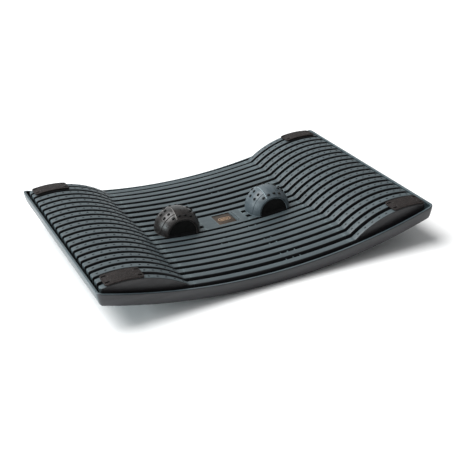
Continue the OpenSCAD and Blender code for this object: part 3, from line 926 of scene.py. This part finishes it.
# Inside of the wall from its foot up, as (inset, share of the wall's height below the rim)
INNER_WALL = ((WALL_T + DRAFT * 0.8, 0.74), (WALL_T + 0.3, 0.32))
# Inside of the rim's lip from its foot up, as (inset, distance below the rim)
INNER_LIP = ((WALL_T + 0.1, 3.4), (RIM_LIP, 2.2), (RIM_LIP, 0.5), (RIM_LIP - 0.15, 0.15), (RIM_LIP - 0.5, 0))


def rim_height(x):
    return RIM_MID_Z + RIM_R - math.sqrt(RIM_R ** 2 - x * x)


def underside(x):
    return AXIS_Z - math.sqrt(TRAY_R ** 2 - x * x)


def tray_outline(inset):
    """Points of the tray's plan outline, drawn in by inset, counter-clockwise from the right-hand side."""
    radius = max(TRAY_CORNER_R - inset, 0.02)
    middle_x = HALF_LEN - max(TRAY_CORNER_R, inset)
    middle_y = HALF_W - max(TRAY_CORNER_R, inset)
    arcs = []
    for turn, (sx, sy) in enumerate(CORNER_SIGNS):
        angles = [math.radians(90 * (turn - 1) + 90 * k / CORNER_STEPS) for k in range(CORNER_STEPS + 1)]
        arcs.append([(sx * middle_x + radius * math.cos(a), sy * middle_y + radius * math.sin(a))
                     for a in angles])
    points = []
    for turn, arc in enumerate(arcs):
        points += arc
        start, stop = arc[-1], arcs[(turn + 1) % 4][0]
        steps = SIDE_STEPS if turn % 2 else END_STEPS
        for k in range(1, steps):
            t = k / steps
            points.append((start[0] + (stop[0] - start[0]) * t, start[1] + (stop[1] - start[1]) * t))
    return points


def tray_ring(inset, depth):
    """One level of the tray; depth(height of the wall) is the distance below the rim."""
    ring = []
    for x, y in tray_outline(inset):
        ring.append((x, y, rim_height(x) - depth(rim_height(x) - underside(x))))
    return ring


def floor_rings(inset, surface):
    """Rings that shrink towards the middle and lie on a curved surface."""
    outline = tray_outline(inset)
    rings = []
    for k in range(12):
        share = 1 - k / 12
        rings.append([(x * share, y * share, surface(x * share)) for x, y in outline])
    return rings


def tray_levels():
    """The tray's section as rings: its floor from the middle out, inner wall, rim, outer wall, underside."""
    rings = floor_rings(WALL_T + DRAFT + 1, tray_floor)[::-1]
    for inset, share in INNER_WALL:
        rings.append(tray_ring(inset, lambda height, share=share: height * share))
    for inset, fall in INNER_LIP:
        rings.append(tray_ring(inset, lambda height, fall=fall: fall))
    for k in range(7):
        a = math.radians(15 * k)
        rings.append(tray_ring(RIM_EDGE - RIM_EDGE * math.sin(a),
                               lambda height, a=a: RIM_EDGE - RIM_EDGE * math.cos(a)))
    for k in range(1, 9):
        t = k / 8
        rings.append(tray_ring(DRAFT * t ** DRAFT_POWER,
                               lambda height, t=t: RIM_EDGE + (height - LOWER_FALL - RIM_EDGE) * t))
    for k in range(1, 8):
        a = DRAFT_SLOPE + (math.pi / 2 - DRAFT_SLOPE) * k / 7
        rings.append(tray_ring(DRAFT + LOWER_R * (math.cos(DRAFT_SLOPE) - math.cos(a)),
                               lambda height, a=a: height - LOWER_R * (1 - math.sin(a))))
    return rings + floor_rings(DRAFT + LOWER_R * math.cos(DRAFT_SLOPE) + 1.5, underside)


def cut(piece, build, inside=None):
    """Takes a bmesh in millimetres away from a piece; the new faces can have their own material."""
    bmesh.ops.recalc_face_normals(build, faces=build.faces)
    bmesh.ops.scale(build, vec=(MM, MM, MM), verts=build.verts)
    mesh = bpy.data.meshes.new("cutter")
    build.to_mesh(mesh)
    build.free()
    if inside:
        mesh.materials.append(inside)
    cutter = bpy.data.objects.new("cutter", mesh)
    SCENE.collection.objects.link(cutter)
    step = piece.modifiers.new("cut", "BOOLEAN")
    step.operation = "DIFFERENCE"
    step.solver = "EXACT"
    step.material_mode = "TRANSFER" if inside else "INDEX"
    step.object = cutter
    bpy.context.view_layer.update()
    result = bpy.data.meshes.new_from_object(piece.evaluated_get(bpy.context.evaluated_depsgraph_get()))
    piece.modifiers.clear()
    piece.data = result
    result.set_sharp_from_angle(angle=SHARP_ANGLE)
    bpy.data.objects.remove(cutter)


def build_tray():
    build = bmesh.new()
    add_rings(build, tray_levels())
    tray = finish_piece(build, "rocker_tray", "tray_plastic", "board", ["base_tray"])
    holes = bmesh.new()
    for along, across in SCREW_SPOTS:
        top = underside(along - 3.6) + HEAD_HOLE_DEEP
        for x, y in four(along, across):
            add_post(holes, x, y, -5, top, HEAD_HOLE_R, 32)
            add_post(holes, x, y, top - 1, top + 20, SHAFT_HOLE_R)
    cut(tray, holes)


# ---- corner pads ----

PAD_T = 2.2
PAD_CORNER_R = 4
PAD_EDGE = 0.8
PAD_CHAMFER = 0.3
# Shallow groove round the pad's top, as (inset, height over the top)
PAD_BORDER = ((1.6, 0), (2.0, -0.25), (2.4, -0.25), (2.8, 0))
PAD_LIFT = 0.35
PAD_LEAN = math.atan(EDGE_DROP / BAR_PITCH)
PAD_SLOT = (6.2, 2.4)
PAD_SLOT_R = 0.8
PAD_SLOT_AT = (21.5, 7.5)
PAD_PIN_AT = (16.5, 5)
PAD_PIN_RADII = (0.75, 0.75, 0.22)


def rounded_rectangle(length, width, radius, steps=6):
    points = []
    for turn, (sx, sy) in enumerate(((1, 1), (-1, 1), (-1, -1), (1, -1))):
        for k in range(steps + 1):
            a = math.radians(90 * turn + 90 * k / steps)
            points.append((sx * (length / 2 - radius) + radius * math.cos(a),
                           sy * (width / 2 - radius) + radius * math.sin(a)))
    return points


def subdivided(points, longest):
    """Closed outline with extra points, so that no step is longer than `longest`."""
    result = []
    for a, b in zip(points, points[1:] + points[:1]):
        count = max(1, math.ceil(math.dist(a, b) / longest))
        for k in range(count):
            t = k / count
            result.append((a[0] + (b[0] - a[0]) * t, a[1] + (b[1] - a[1]) * t))
    return result


def pad_place(side, face):
    """Function that carries a pad's point (along, across, height) to the leaning top of the pillow."""
    lean = (Matrix.Translation((side * PILLOW_X, face * PAD_Y, PILLOW_TOP - EDGE_DROP / 2 + PAD_LIFT))
            @ Matrix.Rotation(-face * PAD_LEAN, 4, "X") @ Matrix.Translation((0, 0, -PILLOW_TOP)))
    shift = pad_x(side, face) - side * PILLOW_X

    def place(u, v, height):
        a = math.asin((u + shift) / PILLOW_R)
        radius = PILLOW_R + height
        return lean @ Vector((radius * math.sin(a), v, PILLOW_Z + radius * math.cos(a)))
    return place


def pad_ring(place, inset, height, share=1.0):
    outline = rounded_rectangle(PAD_SIZE[0] - 2 * inset, PAD_SIZE[1] - 2 * inset, PAD_CORNER_R - inset)
    return [place(u * share, v * share, height) for u, v in subdivided(outline, 2.5)]


def build_pad(name, side, face, node):
    place = pad_place(side, face)
    build = bmesh.new()
    rings = [pad_ring(place, PAD_CHAMFER, 0, share) for share in (0.1, 0.4, 0.7, 1)]
    rings.append(pad_ring(place, 0, PAD_CHAMFER))
    for k in range(7):
        a = math.radians(15 * k)
        rings.append(pad_ring(place, PAD_EDGE * (1 - math.cos(a)), PAD_T - PAD_EDGE * (1 - math.sin(a))))
    rings += [pad_ring(place, inset, PAD_T + dip) for inset, dip in PAD_BORDER]
    rings += [pad_ring(place, PAD_BORDER[-1][0], PAD_T, share) for share in (0.8, 0.6, 0.4, 0.2, 0.05)]
    add_rings(build, rings)
    pad = finish_piece(build, name, "pad_rubber", "board", [node])
    slots = bmesh.new()
    for u, v in four(*PAD_SLOT_AT):
        outline = rounded_rectangle(*PAD_SLOT, PAD_SLOT_R, steps=4)
        add_rings(slots, [[place(u + a, v + b, height) for a, b in outline] for height in (0.25, 4)])
    # The cut faces of the slots take the near-black core rubber: painted shade inside the slots.
    cut(pad, slots, MATERIALS["dome_core_rubber"])


def build_pins():
    """Small domed pin heads, four in each pad."""
    build = bmesh.new()
    for side, face in four(1, 1):
        place = pad_place(side, face)
        for u, v in four(*PAD_PIN_AT):
            low, high = place(u, v, PAD_T - 0.6), place(u, v, PAD_T)
            turn = (high - low).to_track_quat("Z", "Y").to_matrix().to_4x4()
            at = Matrix.Translation(high) @ turn @ Matrix.Diagonal((*PAD_PIN_RADII, 1))
            bmesh.ops.create_uvsphere(build, u_segments=16, v_segments=8, radius=1, matrix=at)
    finish_piece(build, "pad_pin_heads", "rivet_steel", "board", ["pad_rivets"])


# ---- badge ----

BADGE_CORNER_R = 1.6
# Edge of the plate from its foot up, as (inset, height)
BADGE_EDGE = ((0, BADGE_LOW.z), (0, BADGE_HIGH.z - 0.4), (0.12, BADGE_HIGH.z - 0.12), (0.4, BADGE_HIGH.z))
MARK_FOOT = BADGE_HIGH.z - 0.1
MARK_TOP = BADGE_HIGH.z + 0.25
MARK_TAPER = 0.2
# Inner and outer size of the mark's two bands
MARK_BANDS = (((17.4, 6.8), (20, 9.4)), ((9, 0.6), (13, 3)))


def badge_ring(size, radius, z):
    """Rounded rectangle round the middle of the badge."""
    middle = (BADGE_LOW + BADGE_HIGH) / 2
    return [(middle.x + u, middle.y + v, z) for u, v in rounded_rectangle(*size, radius)]


def mark_ring(size, grow, z):
    long, wide = size[0] + grow, size[1] + grow
    return badge_ring((long, wide), min(long, wide) / 2 - 0.01, z)


def build_badge():
    """Plain dark copper plate with a neutral mark: a bar in an oval."""
    length, width = BADGE_HIGH.x - BADGE_LOW.x, BADGE_HIGH.y - BADGE_LOW.y
    build = bmesh.new()
    add_rings(build, [badge_ring((length - 2 * inset, width - 2 * inset), BADGE_CORNER_R - inset, z)
                      for inset, z in BADGE_EDGE])
    finish_piece(build, "badge_face", "badge_metal", "board", ["badge_plate"])
    mark = bmesh.new()
    for inner, outer in MARK_BANDS:
        rings = [mark_ring(inner, 0, MARK_FOOT), mark_ring(inner, MARK_TAPER, MARK_TOP),
                 mark_ring(outer, -MARK_TAPER, MARK_TOP), mark_ring(outer, 0, MARK_FOOT)]
        add_rings(mark, rings + rings[:1], cap=False)
    bmesh.ops.remove_doubles(mark, verts=mark.verts, dist=0.001)
    finish_piece(mark, "badge_ring", "badge_metal", "board", [], material=BADGE_MARK)


# ---- massage domes: built in their own frame, whose origin is the middle of the sphere ----

DOME_R = 33.5
DOME_X = 74.3
DOME_HALF_DEPTH = 23
DOME_WALL = 2.2
DOME_ABOVE = 1.6
DOME_CLEAR = 0.2
DOME_COLUMNS = 26
DOME_EDGE_Y = 21.4
DOME_INNER_YS = (21.2, 14, 7, 0, -7, -14, -21.2)
# The shell's lip round its open face, from the outside in, as (y, radius)
DOME_LIP = ((21.9, 25.35), (22.55, 24.75), (22.9, 24), (23, 23.1), (22.95, 22.3), (22.7, 21.7), (22.2, 21.4))
DOME_LEAN = math.asin(DOME_X / (DISH_R - DOME_ABOVE))
RIDGE_X = 9
RIDGE_W = 1.1
BELL_SPREAD = 1.6
RIDGE_H = 0.65
FAR_RIDGE_H = 0.2
GROOVE_Y = 13.4
GROOVE_W = 0.9
GROOVE_DEEP = 0.6
NUB_ROWS = ((-18.2, (-28, -9.5, 9.5, 28)), (-8.2, (-46, -31, 31, 46)), (3.6, (-46, -31, 31, 46)),
            (16, (-28, -9.5, 9.5, 28)))
NUB_SIZE = (2.5, 1.75, 2.0)
NUB_PROUD = 1.9
DIMPLE_R = 3.0
DIMPLE_DEEP = 0.3
CORE_RECESS = 1.4
CORE_GAP = 0.3
CORE_FOOT = 1.5


def nub_directions():
    directions = []
    for forward, turns in NUB_ROWS:
        tilt = math.asin(forward / DOME_R)
        for turn in turns:
            spin = Matrix.Rotation(math.radians(turn), 3, "Y") @ Matrix.Rotation(-tilt, 3, "X")
            directions.append(spin @ Vector((0, 0, 1)))
    return directions


def bell(distance, width):
    """1 at the middle, falling smoothly to 0 at half the width."""
    share = min(abs(distance) / (width / 2), 1)
    return 0.5 + 0.5 * math.cos(math.pi * share)


def dome_relief(x, y, nubs):
    """Height over the sphere: two ridges from front to back, grooves outside them, dimples round the nubs."""
    relief = (RIDGE_H if x < 0 else FAR_RIDGE_H) * bell(abs(x) - RIDGE_X, RIDGE_W * BELL_SPREAD)
    if abs(x) > RIDGE_X + RIDGE_W * 0.6:
        relief -= GROOVE_DEEP * bell(abs(y) - GROOVE_Y, GROOVE_W * BELL_SPREAD)
    for nub in nubs:
        gap = math.hypot(x - nub.x * DOME_R, y - nub.y * DOME_R)
        if gap < DIMPLE_R:
            relief -= DIMPLE_DEEP * bell(gap, DIMPLE_R * 2)
    return relief


def dome_foot_angle(radius):
    """Angle below the horizontal at which a ring of the shell meets the dished deck."""
    foot = -DOME_ABOVE + DOME_CLEAR + radius * radius / (2 * DISH_R)
    return math.asin(foot / radius)


def fine_steps(low, high, step, fine_at, fine_width, fine_step):
    """Even steps from low to high, with finer ones round each place in fine_at."""
    values = set(round(v, 3) for v in steps_between(low, high, step))
    for centre in fine_at:
        values |= {round(v, 3) for v in steps_between(centre - fine_width, centre + fine_width, fine_step)}
    return sorted(v for v in values if low <= v <= high)


def dome_angles(radius, flat):
    """Angles of one ring, from the right foot over the top to the left; the middle ones keep to fixed x."""
    edge = math.acos(flat[-1] / radius)
    foot = dome_foot_angle(radius)
    right = [foot + (edge - foot) * k / DOME_COLUMNS for k in range(DOME_COLUMNS)]
    middle = [math.acos(x / radius) for x in reversed(flat)]
    left = [math.pi - a for a in reversed(right)]
    return right + middle + left


def dome_profile():
    """The shell's section as (y, radius, shows): outside, back lip, inside, front lip."""
    inner_r = DOME_R - DOME_WALL
    outer_ys = fine_steps(-DOME_EDGE_Y, DOME_EDGE_Y, 0.8, (-GROOVE_Y, GROOVE_Y), 0.75, 0.15)
    outer = [(y, math.sqrt(DOME_R ** 2 - y * y), True) for y in outer_ys]
    inner = [(y, math.sqrt(inner_r ** 2 - y * y), False) for y in DOME_INNER_YS]
    back = [(y, r, False) for y, r in DOME_LIP]
    front = [(-y, r, False) for y, r in reversed(DOME_LIP)]
    return outer + back + inner + front


def dome_matrix(side):
    return (Matrix.Translation((0, 0, DISH_Z)) @ Matrix.Rotation(-side * DOME_LEAN, 4, "Y")
            @ Matrix.Translation((0, 0, DOME_ABOVE - DISH_R)))


def dome_rows(profile):
    """Points of the shell, one row per point of its section."""
    flat = fine_steps(-18, 18, 0.9, (-RIDGE_X, RIDGE_X), 0.9, 0.18)
    nubs = nub_directions()
    rows = []
    for y, radius, shows in profile:
        row = []
        for a in dome_angles(radius, flat):
            x, z = radius * math.cos(a), radius * math.sin(a)
            swell = 1 + (dome_relief(x, y, nubs) / DOME_R if shows and z > 2 else 0)
            row.append(Vector((x * swell, y * swell, z * swell)))
        rows.append(row)
    return rows


def build_dome_shell(name, side, slot, body, node):
    """The shell as a closed skin; the faces along the left ridge have a lighter material, a painted highlight
    along the lit ridge.
    """
    profile = dome_profile()
    build = bmesh.new()
    grid = [[build.verts.new(p) for p in row] for row in dome_rows(profile)]
    for near, far, (_, _, shows) in zip(grid, grid[1:] + grid[:1], profile):
        for j in range(len(near) - 1):
            face = build.faces.new((near[j], near[j + 1], far[j + 1], far[j]))
            middle = face.calc_center_median()
            # Painted highlight: faces on the left ridge take the lighter ridge material.
            if shows and middle.z > 0 and abs(middle.x + RIDGE_X) < RIDGE_W / 2:
                face.material_index = 1
    build.faces.new([row[0] for row in grid])
    build.faces.new([row[-1] for row in grid][::-1])
    bmesh.ops.transform(build, matrix=dome_matrix(side), verts=build.verts)
    shell = finish_piece(build, name, slot, body, [node])
    shell.data.materials.append(RIDGE_HIGHLIGHT_MATERIALS[slot])


def build_dome_core(name, side, body, node):
    """The soft core: a black filling behind each open face, and nubs that come out through the shell."""
    build = bmesh.new()
    core_r = DOME_R - DOME_WALL - CORE_GAP
    half = DOME_HALF_DEPTH - CORE_RECESS
    rings = []
    for y in steps_between(-half, half, 3):
        radius = math.sqrt(core_r ** 2 - y * y)
        foot = math.asin(CORE_FOOT / radius)
        angles = [foot + (math.pi - 2 * foot) * k / 40 for k in range(41)]
        rings.append([(radius * math.cos(a), y, radius * math.sin(a)) for a in angles])
    add_rings(build, rings)
    for nub in nub_directions():
        around = Vector((0, 1, 0)).cross(nub).normalized()
        turn = Matrix((around, nub.cross(around), nub)).transposed().to_4x4()
        centre = Matrix.Translation(nub * (DOME_R + NUB_PROUD - NUB_SIZE[2]))
        bmesh.ops.create_uvsphere(build, u_segments=16, v_segments=10, radius=1,
                                  matrix=centre @ turn @ Matrix.Diagonal((*NUB_SIZE, 1)))
    bmesh.ops.transform(build, matrix=dome_matrix(side), verts=build.verts)
    finish_piece(build, name, "dome_core_rubber", body, [node])


add_camera()
add_studio()
paint_cad_nodes()
build_tray()
build_deck_middle()
for label, side in (("left", -1), ("right", 1)):
    build_pillow(f"foot_pillow_{label}", side, f"{label}_pillow")
    build_studs(f"pillow_studs_{label}", side, f"{label}_studs")
    for edge, face in (("front", -1), ("back", 1)):
        build_pad(f"corner_pad_{edge}_{label}", side, face, f"grip_pad_{edge}_{label}")
    build_dome_shell(f"dome_shell_{label}", side, "dome_dark" if side < 0 else "dome_blue", f"{label}_dome",
                     f"{label}_dome_shell")
    build_dome_core(f"dome_core_{label}", side, f"{label}_dome", f"{label}_dome_core")
build_pins()
build_badge()
